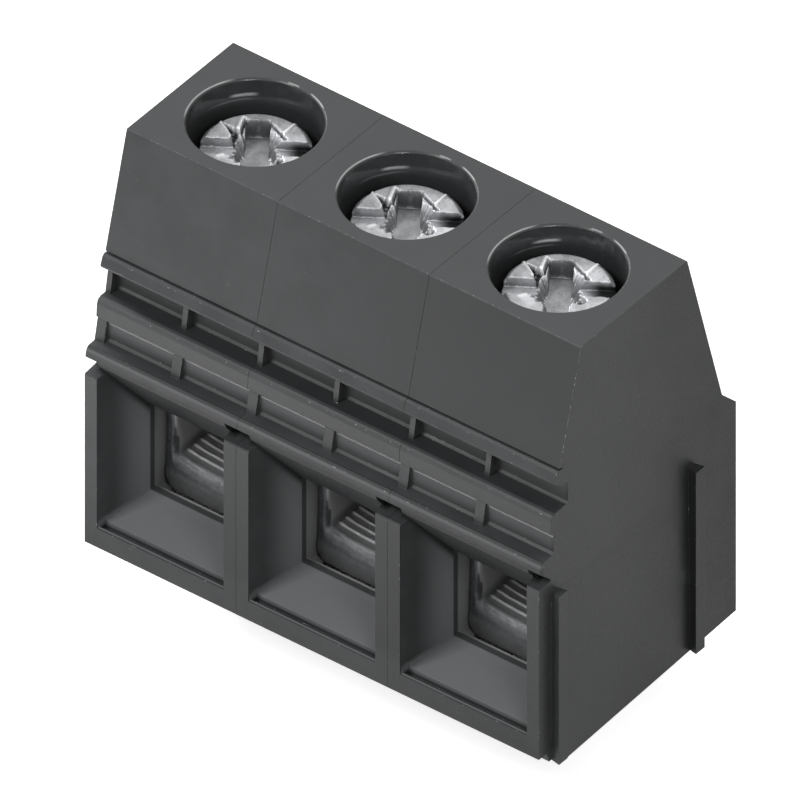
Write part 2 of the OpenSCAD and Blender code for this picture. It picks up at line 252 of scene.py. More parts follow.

# wire funnel: painted light on its floor and on the way into the throat, and painted shade on its sloping
# roof
funnel = {
    "wornAndLit": "#7f8182", "roof": "#2b2c2d",
    "front": -8.29, "throat": -4.63, "sill": 1.93, "throatFloor": 2.65,
    "roofFront": 13.07, "throatTop": 8.5,
    "halfWidth": (4.62, 4.67), "mouth": (-8.27, -8.14), "back": (-4.63, -4.53),
    "foot": (1.73, 1.93), "top": (12.9, 13.1),
    "floorLit": (0.05, 0.6, 0.92), "deepLit": (-7.39, -4.63), "roofSpared": (0.1, 0.9),
    "roofMouth": (-8.28, -8.25), "roofShade": (0.08, 0.5), "roofTop": (12.9, 13.1),
}

# throat and yoke chamber behind the funnel: painted light on their walls, paler in the chamber than in the
# throat
chamber = {
    "litWall": "#a2a3a4", "throat": "#4c4d4e", "throatEnd": (-3.75, -3.65), "front": (-4.63, -4.53),
    "halfWidth": (4.1, 4.2), "back": (4.2, 4.4), "foot": (1.2, 1.4), "top": (18.0, 18.5),
}

# nose of the lower rib: painted shade on its round top, and a painted highlight in a thin band below that
nose = {
    "low": 12.86, "high": 13.86, "back": (-7.95, -7.85), "foot": (12.84, 12.88), "top": (13.90, 13.95),
    # painted light and shade from its foot to its round top
    "shades": [(0.0, "#292a2b"), (0.34, "#2b2c2d"), (0.60, "#363738"), (0.72, "#5a5b5c"), (0.80, "#606162"),
               (0.88, "#242526"), (1.0, "#202122")],
}

# pale edges: pale nicks of wear everywhere, and the edges round the front slope drawn paler as well, partly
# wear and partly painted highlight
edgeWearAndLight = {
    "nick": "#b9babb", "nickMm": 0.22, "nickSpan": (0.63, 0.72), "nicks": 0.8, "moreNicks": 0.08,
    "wornAndLit": "#646566", "rubMm": 0.8, "rubSpan": (0.38, 0.62), "rubLow": 0.2,
    "top": (26.25, 26.30), "foot": (19.4, 19.6), "end": (15.10, 15.14), "back": (-4.48, -4.38),
}


def overPlane(tree, y, z, f, frontHeight, throatHeight):
    # height over the plane that runs from frontHeight at the funnel's front to throatHeight at its throat
    rise = (throatHeight - frontHeight) / (f["throat"] - f["front"])
    return combine(tree, "SUBTRACT", combine(tree, "SUBTRACT", z, frontHeight),
                   combine(tree, "MULTIPLY", combine(tree, "SUBTRACT", y, f["front"]), rise))


def shadeFunnel(tree, colour, fromAxis, y, z, f):
    overFloor = overPlane(tree, y, z, f, f["sill"], f["throatFloor"])
    underRoof = combine(tree, "MULTIPLY", overPlane(tree, y, z, f, f["roofFront"], f["throatTop"]), -1.0)
    between = below(tree, fromAxis, *f["halfWidth"])
    inside = product(tree, between, above(tree, y, *f["mouth"]), below(tree, y, *f["back"]),
                     above(tree, z, *f["foot"]), below(tree, z, *f["top"]))
    # painted light on the floor and deep in the funnel, painted shade on its roof
    deepIn = product(tree, above(tree, y, *f["deepLit"]), above(tree, underRoof, *f["roofSpared"]))
    wornAndLit = product(tree, inside, largest(tree, below(tree, overFloor, *f["floorLit"]), deepIn))
    onRoof = product(tree, between, above(tree, y, *f["roofMouth"]), below(tree, y, *f["back"]),
                     below(tree, underRoof, *f["roofShade"]), below(tree, z, *f["roofTop"]))
    return mixColours(tree, onRoof, mixColours(tree, wornAndLit, colour, f["wornAndLit"]), f["roof"])


def shadeChamber(tree, colour, fromAxis, y, z, c):
    inside = product(tree, above(tree, y, *c["front"]), below(tree, fromAxis, *c["halfWidth"]),
                     below(tree, y, *c["back"]), above(tree, z, *c["foot"]), below(tree, z, *c["top"]))
    # painted light: pale walls in the chamber, less pale in the throat
    walls = mixColours(tree, below(tree, y, *c["throatEnd"]), c["litWall"], c["throat"])
    return mixColours(tree, inside, colour, walls)


def shadeNose(tree, colour, y, z, n):
    # painted light and shade up the nose
    height = addNode(tree, "ShaderNodeMapRange", {"Value": z},
                     {"From Min": n["low"], "From Max": n["high"]})
    shades = addNode(tree, "ShaderNodeValToRGB", {"Fac": height.outputs["Result"]})
    shades.color_ramp.interpolation = "EASE"
    for share, shade in n["shades"][1:-1]:
        shades.color_ramp.elements.new(share)
    for element, (share, shade) in zip(shades.color_ramp.elements, n["shades"]):
        element.position, element.color = share, linearColour(shade)
    onNose = product(tree, below(tree, y, *n["back"]),
                     above(tree, z, *n["foot"]), below(tree, z, *n["top"]))
    return mixColours(tree, onNose, colour, shades.outputs["Color"])


def paintWellHighlights(tree, colour, place, inWell, angle, radius, z, w):
    flat = addNode(tree, "ShaderNodeMapping", {"Vector": place}, {"Scale": w["streakFlat"]}).outputs[0]
    streakNoise = noiseAt(tree, flat, w["streakMm"], detail=2.0)
    streaks = stretch(tree, streakNoise, *w["streakSpan"], w["streakLow"], 1.0)
    aroundCore, heightCore = w["reflectionCores"]
    paintedReflections = largest(tree, *[product(tree, band(tree, angle, first, last, aroundCore, strength),
                                     band(tree, z, low, high, heightCore))
                             for first, last, low, high, strength in w["paintedReflections"]])
    # painted reflections on the polished wall, broken into flat streaks
    colour = mixColours(tree, product(tree, paintedReflections, inWell, streaks), colour, w["paintedGlint"])
    # painted highlights on parts of the rim
    rim = largest(tree, *[band(tree, angle, first, last, w["rimCore"], strength)
                          for first, last, strength in w["rimHighlights"]])
    onRim = product(tree, below(tree, radius, *w["rimRadius"]), above(tree, z, *w["rimHeight"]))
    return mixColours(tree, product(tree, onRim, rim), colour, w["rim"])


def paleEdgesWornAndLit(tree, colour, place, x, y, z, e):
    atEnd = product(tree, above(tree, z, *e["foot"]), above(tree, combine(tree, "ABSOLUTE", x), *e["end"]))
    slopeEdge = product(tree, largest(tree, above(tree, z, *e["top"]), atEnd), below(tree, y, *e["back"]))
    rubNoise = noiseAt(tree, place, e["rubMm"], detail=2.0, rough=0.6)
    patchy = stretch(tree, rubNoise, *e["rubSpan"], e["rubLow"], 1.0)
    # paler band round the front slope: partly wear, partly painted highlight
    colour = mixColours(tree, product(tree, slopeEdge, patchy), colour, e["wornAndLit"])
    nick = combine(tree, "ADD", noiseAt(tree, place, e["nickMm"], detail=2.0, rough=0.7),
                   combine(tree, "MULTIPLY", slopeEdge, e["moreNicks"]))
    return mixColours(tree, stretch(tree, nick, *e["nickSpan"], 0.0, e["nicks"]), colour, e["nick"])


def mouldedPolyamide(name, p, wornAndLitEdges):
    material, tree, shader, place = newMaterial(name)
    metres = addNode(tree, "ShaderNodeSeparateXYZ", {"Vector": place}).outputs
    x, y, z = [combine(tree, "MULTIPLY", value, 1 / mm) for value in metres]
    # the poles repeat, so places are told from the nearest screw axis
    alongRow = combine(tree, "WRAP", x, pitch / 2)
    alongRow.node.inputs[2].default_value = -pitch / 2
    fromAxis = largest(tree, combine(tree, "ABSOLUTE", alongRow),
                       combine(tree, "SUBTRACT", combine(tree, "ABSOLUTE", x), pitch))
    squares = combine(tree, "ADD", product(tree, alongRow, alongRow), product(tree, y, y))
    radius = combine(tree, "SQRT", squares)
    angle = combine(tree, "ARCTAN2", combine(tree, "MULTIPLY", alongRow, -1.0), y)
    inWell = product(tree, below(tree, radius, *well["radius"]), above(tree, z, *well["floor"]))

    cloud = noiseAt(tree, place, p["cloudMm"], detail=4.0, rough=0.6)
    grain = noiseAt(tree, place, p["grainMm"], detail=2.0, rough=0.6)
    speck = noiseAt(tree, place, p["speckMm"], detail=1.0)
    colour = mixColours(tree, above(tree, cloud, *p["cloudSpan"]), p["base"], p["cloud"])
    colour = mixColours(tree, stretch(tree, speck, *p["speckSpan"], 0.0, p["specks"]), colour, p["speck"])
    # painted light and shade from the boxes above
    for *box, shade, strength in p["paintedLightAndShade"].values():
        colour = mixColours(tree, product(tree, boxMask(tree, (x, y, z), *box), strength), colour, shade)
    colour = shadeFunnel(tree, colour, fromAxis, y, z, funnel)
    colour = shadeChamber(tree, colour, fromAxis, y, z, chamber)
    # painted shade inside the screw wells
    colour = mixColours(tree, inWell, colour, well["shade"])
    colour = shadeNose(tree, colour, y, z, nose)
    colour = paintWellHighlights(tree, colour, place, inWell, angle, radius, z, well)
    if wornAndLitEdges:
        colour = paleEdgesWornAndLit(tree, colour, place, x, y, z, edgeWearAndLight)
    tree.links.new(colour, shader.inputs["Base Color"])

    rough = combine(tree, "ADD", stretch(tree, grain, *p["roughSpan"], *p["roughOfGrain"]),
                    stretch(tree, cloud, *p["roughSpan"], *p["roughOfCloud"]))
    tree.links.new(rough, shader.inputs["Roughness"])
    shader.inputs["IOR"].default_value = p["index"]
    shader.inputs["Specular IOR Level"].default_value = p["shine"]
    # the wells are polished: a glossy skin there and nowhere else
    tree.links.new(product(tree, inWell, well["gloss"]), shader.inputs["Coat Weight"])
    shader.inputs["Coat Roughness"].default_value = well["roughness"]
    outside = combine(tree, "SUBTRACT", 1.0, inWell)
    addBump(tree, shader, product(tree, grain, outside), p["grainStrength"], p["grainDepthMm"])
    return material


# Screws and yokes: steel, zinc plated and passivated: light grey and finely pitted, with painted shade in
# the screws' hollows
zincOnSteel = {
    "bright": "#d2d3d6", "dull": "#aeb0b2", "patchMm": 0.9, "patchSpan": (0.35, 0.68),
    "pit": "#7a7c7e", "pitMm": 0.14, "pitSpan": (0.30, 0.42, 0.75), "pitStrength": 0.35, "pitDepthMm": 0.03,
    # colour of each mark that the meshes store: scratches with painted highlight and painted light, painted
    # shade in the hollows, dirt with painted shade
    "marksLightAndShade": {"burnishAndLight": "#f6f6f7", "sunk": "#7b7d7f", "grimeAndShade": "#262728"},
    "metallic": 0.75, "roughness": 0.50,
    "roughOfPits": (0.3, 0.7, 0.10, -0.06),  # noise span, and what it adds to the roughness at its ends
}
# the yokes' zinc is drawn darker and greyer than the screws'
dullZinc = {
    **zincOnSteel, "bright": "#66686a", "dull": "#56585a", "pit": "#444648",
    "metallic": 0.5, "roughness": 0.46, "patchMm": 0.35,
}


def platedSteel(name, p):
    material, tree, shader, place = newMaterial(name)
    patch = noiseAt(tree, place, p["patchMm"], rough=0.6)
    pits = noiseAt(tree, place, p["pitMm"], rough=0.65)
    start, end, strength = p["pitSpan"]
    colour = mixColours(tree, above(tree, patch, *p["patchSpan"]), p["bright"], p["dull"])
    colour = mixColours(tree, below(tree, pits, start, end, strength), colour, p["pit"])
    for marksLightAndShade, shade in p["marksLightAndShade"].items():
        amount = addNode(tree, "ShaderNodeAttribute", attribute_name=marksLightAndShade).outputs["Fac"]
        colour = mixColours(tree, amount, colour, shade)
    tree.links.new(colour, shader.inputs["Base Color"])
    shader.inputs["Metallic"].default_value = p["metallic"]
    rough = combine(tree, "ADD", stretch(tree, pits, *p["roughOfPits"]), p["roughness"])
    tree.links.new(rough, shader.inputs["Roughness"])
    addBump(tree, shader, pits, p["pitStrength"], p["pitDepthMm"])
    return material


# Current bars: copper with a dipped coat of tin, so smooth and a little cloudy
tinOnCopper = {
    "bright": "#d5d4d0", "cloudy": "#b3b1ac", "cloudMm": 1.4, "cloudSpan": (0.35, 0.65),
    "grainMm": 0.2, "grainStrength": 0.15, "grainDepthMm": 0.02,
    "roughOfGrain": (0.3, 0.7, 0.25, 0.40),  # noise span, and the roughness at its ends
}


def tinnedCopper(name, p):
    material, tree, shader, place = newMaterial(name)
    cloud = noiseAt(tree, place, p["cloudMm"])
    grain = noiseAt(tree, place, p["grainMm"], detail=2.0)
    colour = mixColours(tree, above(tree, cloud, *p["cloudSpan"]), p["bright"], p["cloudy"])
    tree.links.new(colour, shader.inputs["Base Color"])
    shader.inputs["Metallic"].default_value = 1.0
    tree.links.new(stretch(tree, grain, *p["roughOfGrain"]), shader.inputs["Roughness"])
    addBump(tree, shader, grain, p["grainStrength"], p["grainDepthMm"])
    return material


housingPlastic = mouldedPolyamide("mouldedPolyamide", polyamide, False)
housingEdges = mouldedPolyamide("mouldedPolyamideWornLitEdge", polyamide, True)
screwSteel = platedSteel("zincPlatedScrewSteel", zincOnSteel)
yokeSteel = platedSteel("zincPlatedYokeSteel", dullZinc)
barMetal = tinnedCopper("tinnedCopper", tinOnCopper)
print("materials made")


# CAD nodes: a finish for each, and a small round on every sharp edge
finishes = {
    "housing": housingPlastic, "clamp_screw": screwSteel, "clamp_yoke": yokeSteel, "current_bar": barMetal,
}
edges = {
    "round": {"housing": 0.09 * mm, "clamp_screw": 0.05 * mm,
              "clamp_yoke": 0.10 * mm, "current_bar": 0.08 * mm},
    "segments": 2, "weld": 0.0002 * mm,
    "sharpAngle": math.radians(28),
    "seam": pitch / 2 * mm, "seamSpan": (0.03 * mm, 0.05 * mm),
    "seamShare": 0.03,  # share of the round left on the edges between two poles
}


def makeEdgeWeights(e):
    # how much of the round each edge gets: none on flat ones, little where two poles meet
    tree = bpy.data.node_groups.new("edgeWeights", "GeometryNodeTree")
    for way in ("INPUT", "OUTPUT"):
        tree.interface.new_socket("Geometry", in_out=way, socket_type="NodeSocketGeometry")
    start = addNode(tree, "NodeGroupInput")
    angle = addNode(tree, "GeometryNodeInputMeshEdgeAngle").outputs["Unsigned Angle"]
    place = addNode(tree, "GeometryNodeInputPosition").outputs[0]
    x = addNode(tree, "ShaderNodeSeparateXYZ", {0: place}).outputs["X"]
    toSeam = combine(tree, "ABSOLUTE", combine(tree, "SUBTRACT", combine(tree, "ABSOLUTE", x), e["seam"]))
    weight = product(tree, combine(tree, "GREATER_THAN", angle, e["sharpAngle"]),
                     stretch(tree, toSeam, *e["seamSpan"], e["seamShare"], 1.0))
    stored = addNode(tree, "GeometryNodeStoreNamedAttribute",
                     {"Geometry": start.outputs[0], "Value": weight}, {"Name": "bevel_weight_edge"},
                     data_type="FLOAT", domain="EDGE")
    addNode(tree, "NodeGroupOutput", {0: stored.outputs[0]})
    return tree


def dressNode(node, family, edgeWeights, e):
    node.data.materials.clear()
    node.data.materials.append(finishes[family])
    weld = node.modifiers.new("joinTriangles", "WELD")
    weld.merge_threshold = e["weld"]
    weights = node.modifiers.new("edgeWeights", "NODES")
    weights.node_group = edgeWeights
    bevel = node.modifiers.new("edgeRound", "BEVEL")
    bevel.width = e["round"][family]
    bevel.segments = e["segments"]
    bevel.limit_method = "WEIGHT"
    bevel.harden_normals = True
    bevel.use_clamp_overlap = True
    if family == "housing":
        node.data.materials.append(housingEdges)
        bevel.material = 1


weightsOfEdges = makeEdgeWeights(edges)
for nodeName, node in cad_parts.items():
    dressNode(node, nodeName.rsplit("_", 1)[0], weightsOfEdges, edges)
print("nodes dressed")


# New pieces: parametric grids in millimetres, turned into meshes here
def softStep(value):
    # 0 below 0, 1 above 1 and 3 t t - 2 t t t in between
    t = np.clip(value, 0.0, 1.0)
    return t * t * (3 - 2 * t)


def gridFaces(rows, columns, first=0, closedRows=True):
    # quads of a grid, vertex number = first + row * columns + column; its columns close in a ring,
    # and its rows as well where closedRows says so
    r, c = np.meshgrid(np.arange(rows if closedRows else rows - 1), np.arange(columns), indexing="ij")
    r2, c2 = (r + 1) % rows, (c + 1) % columns
    quads = np.stack([r * columns + c, r2 * columns + c, r2 * columns + c2, r * columns + c2], -1)
    return (first + quads).reshape(-1, 4)


def addPiece(name, points, faces, body, node, material):
    mesh = bpy.data.meshes.new(name)
    mesh.from_pydata((points * mm).tolist(), [], faces)
    mesh.polygons.foreach_set("use_smooth", np.ones(len(mesh.polygons), dtype=bool))
    mesh.update()
    mesh.materials.append(material)
    piece = addObject(name, mesh)
    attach(piece, body)
    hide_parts(node)
    return piece


def storeMarks(piece, name, values):
    piece.data.attributes.new(name, "FLOAT", "POINT").data.foreach_set("value", values)


# clamping yoke: a window bent from thick strip. Its jaw is a shallow trough with grip ridges,
# its front lip is rolled over and its side walls are waisted.
yoke = {
    "halfWidth": 3.75, "side": 0.72, "bottom": 1.74, "top": 12.9, "windowTop": 10.3, "outerRound": 0.9,
    "jaw": 3.88, "jawRadius": 17.0, "jawHalf": 2.65, "innerRound": 0.38, "topRound": 0.3,
    "halfDepth": 3.25, "waist": 3.0, "waistLow": 2.6, "waistHigh": 5.0, "bridgeFade": 1.2, "lip": 3.48,
    "lipRound": 0.72, "edgeRound": 0.34, "lipFrom": 1.0, "lipFade": 0.6,
    "ridgeFirst": -2.72, "ridgeStep": 0.56, "ridges": 10, "ridgeHeight": 0.19, "ridgeSharp": 3.0,
    "ridgeHalf": 2.95, "ridgeFade": 0.25, "ridgeReach": 1.0, "jawSkin": 0.1,
    "insideShine": 0.55, "insideFade": 0.9, "valleyShine": 0.25,
    "footShine": 0.16, "footFrom": 0.45, "footFade": 0.6,
    "holeRadius": 2.04, "holeSides": 48, "drillPast": 1.0,
    "jawSteps": 40, "innerSteps": 12, "sideSteps": 34, "topSteps": 10, "bridgeSteps": 26,
    "turnSteps": 9, "acrossSteps": 112, "shortSteps": 8,
}


def yokeOutline(p):
    # pairs of points round the window, one on its edge and one on the yoke's outside. The right half runs
    # from the middle of the jaw to the middle of the bridge, the left half is its mirror. The jaw's height
    # is jaw + x * x / (2 * jawRadius), the corners are quarter circles and the rest is straight.
    def jaw(x):
        return p["jaw"] + x * x / (2 * p["jawRadius"])

    def shares(count):
        return np.linspace(0, 1, count, endpoint=False)
    inX, outX = p["halfWidth"] - p["side"], p["halfWidth"]
    flat = outX - p["outerRound"]
    lowIn, lowOut = jaw(p["jawHalf"]) + p["innerRound"], p["bottom"] + p["outerRound"]
    highIn, highOut = p["windowTop"] - p["topRound"], p["top"] - p["outerRound"]
    a, b, c = shares(p["jawSteps"]), shares(p["innerSteps"]) * math.pi / 2, shares(p["sideSteps"])
    d, e = shares(p["topSteps"]) * math.pi / 2, np.linspace(0, 1, p["bridgeSteps"])
    inner = np.concatenate([
        np.stack([a * p["jawHalf"], jaw(a * p["jawHalf"])], -1),
        np.stack([p["jawHalf"] + (inX - p["jawHalf"]) * np.sin(b),
                  lowIn - p["innerRound"] * np.cos(b)], -1),
        np.stack([inX + 0 * c, lowIn + c * (highIn - lowIn)], -1),
        np.stack([inX - p["topRound"] * (1 - np.cos(d)), highIn + p["topRound"] * np.sin(d)], -1),
        np.stack([(inX - p["topRound"]) * (1 - e), p["windowTop"] + 0 * e], -1)])
    outer = np.concatenate([
        np.stack([a * flat, p["bottom"] + 0 * a], -1),
        np.stack([flat + p["outerRound"] * np.sin(b), lowOut - p["outerRound"] * np.cos(b)], -1),
        np.stack([outX + 0 * c, lowOut + c * (highOut - lowOut)], -1),
        np.stack([flat + p["outerRound"] * np.cos(d), highOut + p["outerRound"] * np.sin(d)], -1),
        np.stack([flat * (1 - e), p["top"] + 0 * e], -1)])
    mirror = np.array([-1.0, 1.0])
    return [np.concatenate([half, half[-2:0:-1] * mirror]) for half in (inner, outer)]


def makeYoke(name, axis, body, node, p):
    inner, outer = yokeOutline(p)
    wall = np.linalg.norm(outer - inner, axis=1)[:, None]
    across = (outer - inner) / wall
    height = inner[:, 1][:, None]
    # half depth of the strip: front = waist + (lip - waist) * low + (halfDepth - waist) * high,
    # where low goes softly to 1 towards the foot and high towards the bridge
    low = 1 - softStep((height - p["waistLow"]) / (p["waistHigh"] - p["waistLow"]))
    high = softStep((height - p["windowTop"] + p["bridgeFade"]) / p["bridgeFade"])
    front = p["waist"] + (p["lip"] - p["waist"]) * low + (p["halfDepth"] - p["waist"]) * high
    rear = p["waist"] + (p["halfDepth"] - p["waist"]) * np.maximum(low, high)
    thick = softStep((wall - p["lipFrom"]) / p["lipFade"])
    lipRound = p["edgeRound"] + (p["lipRound"] - p["edgeRound"]) * thick
    edgeRound = p["edgeRound"] + 0 * thick
    # section, all round: s across the wall from the window outwards, y from front to back
    turn = np.linspace(0, math.pi / 2, p["turnSteps"])[None, :]
    run = np.linspace(0, 1, p["acrossSteps"])[None, 1:-1]
    short = np.linspace(0, 1, p["shortSteps"])[None, 1:-1]
    s = np.concatenate([
        0 * run * wall,
        lipRound * (1 - np.cos(turn)),
        lipRound + short * (wall - lipRound - edgeRound),
        wall - edgeRound * (1 - np.sin(turn)),
        wall + 0 * short,
        wall - edgeRound * (1 - np.cos(turn)),
        edgeRound + (1 - short) * (wall - 2 * edgeRound),
        edgeRound * (1 - np.sin(turn))], 1)
    y = np.concatenate([
        rear - edgeRound - run * (rear - edgeRound + front - lipRound),
        -front + lipRound * (1 - np.sin(turn)),
        -front + 0 * short,
        -front + edgeRound * (1 - np.cos(turn)),
        -front + edgeRound + short * (front + rear - 2 * edgeRound),
        rear - edgeRound * (1 - np.sin(turn)),
        rear + 0 * short,
        rear - edgeRound * (1 - np.cos(turn))], 1)
    x = inner[:, :1] + across[:, :1] * s
    z = inner[:, 1:] + across[:, 1:] * s
    # grip ridges: height * (1 - |sin(pi * (y - first) / step)|) ** sharp, only on the jaw's upper side,
    # in a row that fades out over half a ridge at both ends
    wave = (y - p["ridgeFirst"]) / p["ridgeStep"]
    atWindow = s < p["jawSkin"]
    nearJaw = z < p["jaw"] + p["ridgeReach"]
    onJaw = atWindow * nearJaw * softStep((p["ridgeHalf"] - np.abs(x)) / p["ridgeFade"])
    inRow = softStep((wave + 0.5) / 0.5) * softStep((p["ridges"] - 0.5 - wave) / 0.5)
    crest = (1 - np.abs(np.sin(math.pi * wave))) ** p["ridgeSharp"]
    z = z + p["ridgeHeight"] * crest * onJaw * inRow
    points = np.stack([x + axis, y, z], -1)
    faces = gridFaces(*points.shape[:2])[:, ::-1].tolist()
    piece = addPiece(name, points.reshape(-1, 3), faces, body, node, yokeSteel)
    # painted light: the window's inside, the valleys between the grip ridges and the foot are drawn bright,
    # so they aren't lost in their own shadow
    paintedLight = (p["insideShine"] * atWindow * softStep((z - p["jaw"]) / p["insideFade"])
            + p["valleyShine"] * onJaw * (1 - inRow * crest)
            + p["footShine"] * softStep((p["jaw"] - p["footFrom"] - z) / p["footFade"]))
    storeMarks(piece, "burnishAndLight", (paintedLight + 0 * z).ravel())
    boreBridge(piece, axis, p)


def boreBridge(piece, axis, p):
    # the screw's hole through the bridge, cut once and kept
    n = p["holeSides"]
    around = np.linspace(0, 2 * math.pi, n, endpoint=False)
    ring = np.stack([axis + p["holeRadius"] * np.cos(around), p["holeRadius"] * np.sin(around)], -1)
    low = np.concatenate([ring, np.full((n, 1), p["windowTop"] - p["drillPast"])], 1)
    high = np.concatenate([ring, np.full((n, 1), p["top"] + p["drillPast"])], 1)
    faces = [(i, (i + 1) % n, n + (i + 1) % n, n + i) for i in range(n)]
    faces += [tuple(range(n - 1, -1, -1)), tuple(range(n, 2 * n))]
    mesh = bpy.data.meshes.new("drill")
    mesh.from_pydata((np.concatenate([low, high]) * mm).tolist(), [], faces)
    drill = addObject("drill", mesh)
    cut = piece.modifiers.new("bore", "BOOLEAN")
    cut.object, cut.operation, cut.solver = drill, "DIFFERENCE", "EXACT"
    depsgraph = bpy.context.evaluated_depsgraph_get()
    bored = bpy.data.meshes.new_from_object(piece.evaluated_get(depsgraph))
    piece.modifiers.clear()
    piece.data = bored
    bpy.data.objects.remove(drill)


# clamp screw: pan head with a straight slot crossed by a short arm, forged, so its edges are torn in places
screw = {
    "headTop": 24.9, "headRadius": 3.05, "chamfer": 0.25, "headHeight": 2.4,
    "lifts": (-0.2, -0.04, 0.2),  # the three heads stand this much higher than headTop
    "turn": math.radians(33.1),
    "slotHalf": 0.62, "slotDepth": 0.6, "armHalf": 0.66, "armLength": 2.29, "armDepth": 1.2,
    "coreRadius": 1.62, "coreFoot": 0.80, "flutes": 22, "fluteDepth": 0.09, "wallRun": 0.07,
    "wobble": 0.02, "wobbleWaves": (9, 7),  # in radians for each millimetre, as in the dirt and painted shade below
    # wear in the head's own frame. Strips: start, end, half width and strength. The chip: its three
    # corners, clockwise
    "scratches": [(-2.02, 1.97, -1.28, 0.76, 0.11, 1.0), (-0.84, 2.46, -1.07, 1.38, 0.21, 1.0),
                  (1.99, 2.16, 1.30, 1.06, 0.13, 1.0), (-1.95, -0.90, -1.70, -0.76, 0.17, 0.6)],
    "tears": [(-0.71, 2.30, -0.86, 1.25, 0.10, 0.8), (0.66, 2.05, 1.55, 0.78, 0.09, 1.0),
              (1.24, -1.09, 1.30, -1.05, 0.30, 1.0)],
    "chip": [(-1.82, 1.86), (-0.93, 1.36), (-1.18, 0.49)], "chipEdge": 0.04,
    "tearDepth": 0.4, "scratchDepth": -0.09,  # scratches throw up a low ridge
    "landDepth": 0.05, "sunkFrom": 0.1, "sunkFade": 0.5, "floorShine": 0.75, "floorSpan": 0.04,
    "dirtAndShade": {"inTears": 1.6, "patchy": (0.65, 0.35), "patchyWaves": ((13, 8), (5, -11)),
             "endFrom": 1.3, "endFade": 1.0, "depthFade": 0.3,
             "onWall": 0.6, "wallSide": 0.06, "wallInset": 0.03, "wallWidth": 0.12, "wallCore": 1.4},
    "undersideShare": 0.5,  # one face covers the head's underside up to this share of its radius
    "shankStart": 0.05,  # the shank begins this far over the underside, inside the head
    "shankRadius": 2.0, "shankEnd": 10.1, "tipRadius": 1.5, "tipLength": 0.5,
    "threadStep": 0.7, "threadDepth": 0.3,
    "coarseLines": 105, "fineLines": 9, "lineGap": 0.02, "squareShare": 0.3,
    "shankSides": 40, "shankLevels": 150,
}


def headPlane(p):
    # square grid, finer at the recess walls, whose squares turn into circles towards the rim: the distance
    # from the middle goes softly from the length of (a, b) to the larger of |a| and |b|, which it is at
    # the rim, and the direction is kept
    def lines(walls):
        close = np.linspace(-p["wallRun"], p["wallRun"], p["fineLines"])
        fine = np.concatenate([side * wall + close for side in (1, -1) for wall in walls])
        coarse = np.linspace(-1, 1, p["coarseLines"]) * p["headRadius"]
        coarse = coarse[np.min(np.abs(coarse[:, None] - fine[None, :]), axis=1) > p["lineGap"]]
        return np.sort(np.concatenate([coarse, fine])) / p["headRadius"]
    a, b = np.meshgrid(lines([p["armHalf"]]), lines([p["slotHalf"], p["armLength"]]), indexing="ij")
    square = np.maximum(np.abs(a), np.abs(b))
    length = np.maximum(np.hypot(a, b), 1e-9)
    radius = length + (square - length) * softStep((square - p["squareShare"]) / (1 - p["squareShare"]))
    return a / length * radius * p["headRadius"], b / length * radius * p["headRadius"]


def strips(x, y, rows):
    # the full strength up to a third of the half width from each line, none from the half width on;
    # where lines cross, the strongest counts
    found = []
    for startX, startY, endX, endY, half, strength in rows:
        runX, runY = endX - startX, endY - startY
        t = np.clip(((x - startX) * runX + (y - startY) * runY) / (runX ** 2 + runY ** 2), 0, 1)
        away = np.hypot(x - startX - t * runX, y - startY - t * runY)
        found.append(strength * np.clip(1.5 - 1.5 * away / half, 0, 1))
    return np.maximum.reduce(found)


def chipped(x, y, points, edge):
    # 1 inside the triangle, with a steep edge
    inner = [((bx - ax) * (y - ay) - (by - ay) * (x - ax)) / -math.hypot(bx - ax, by - ay)
             for (ax, ay), (bx, by) in zip(points, points[1:] + points[:1])]
    return np.clip(np.minimum.reduce(inner) / edge + 0.5, 0, 1)


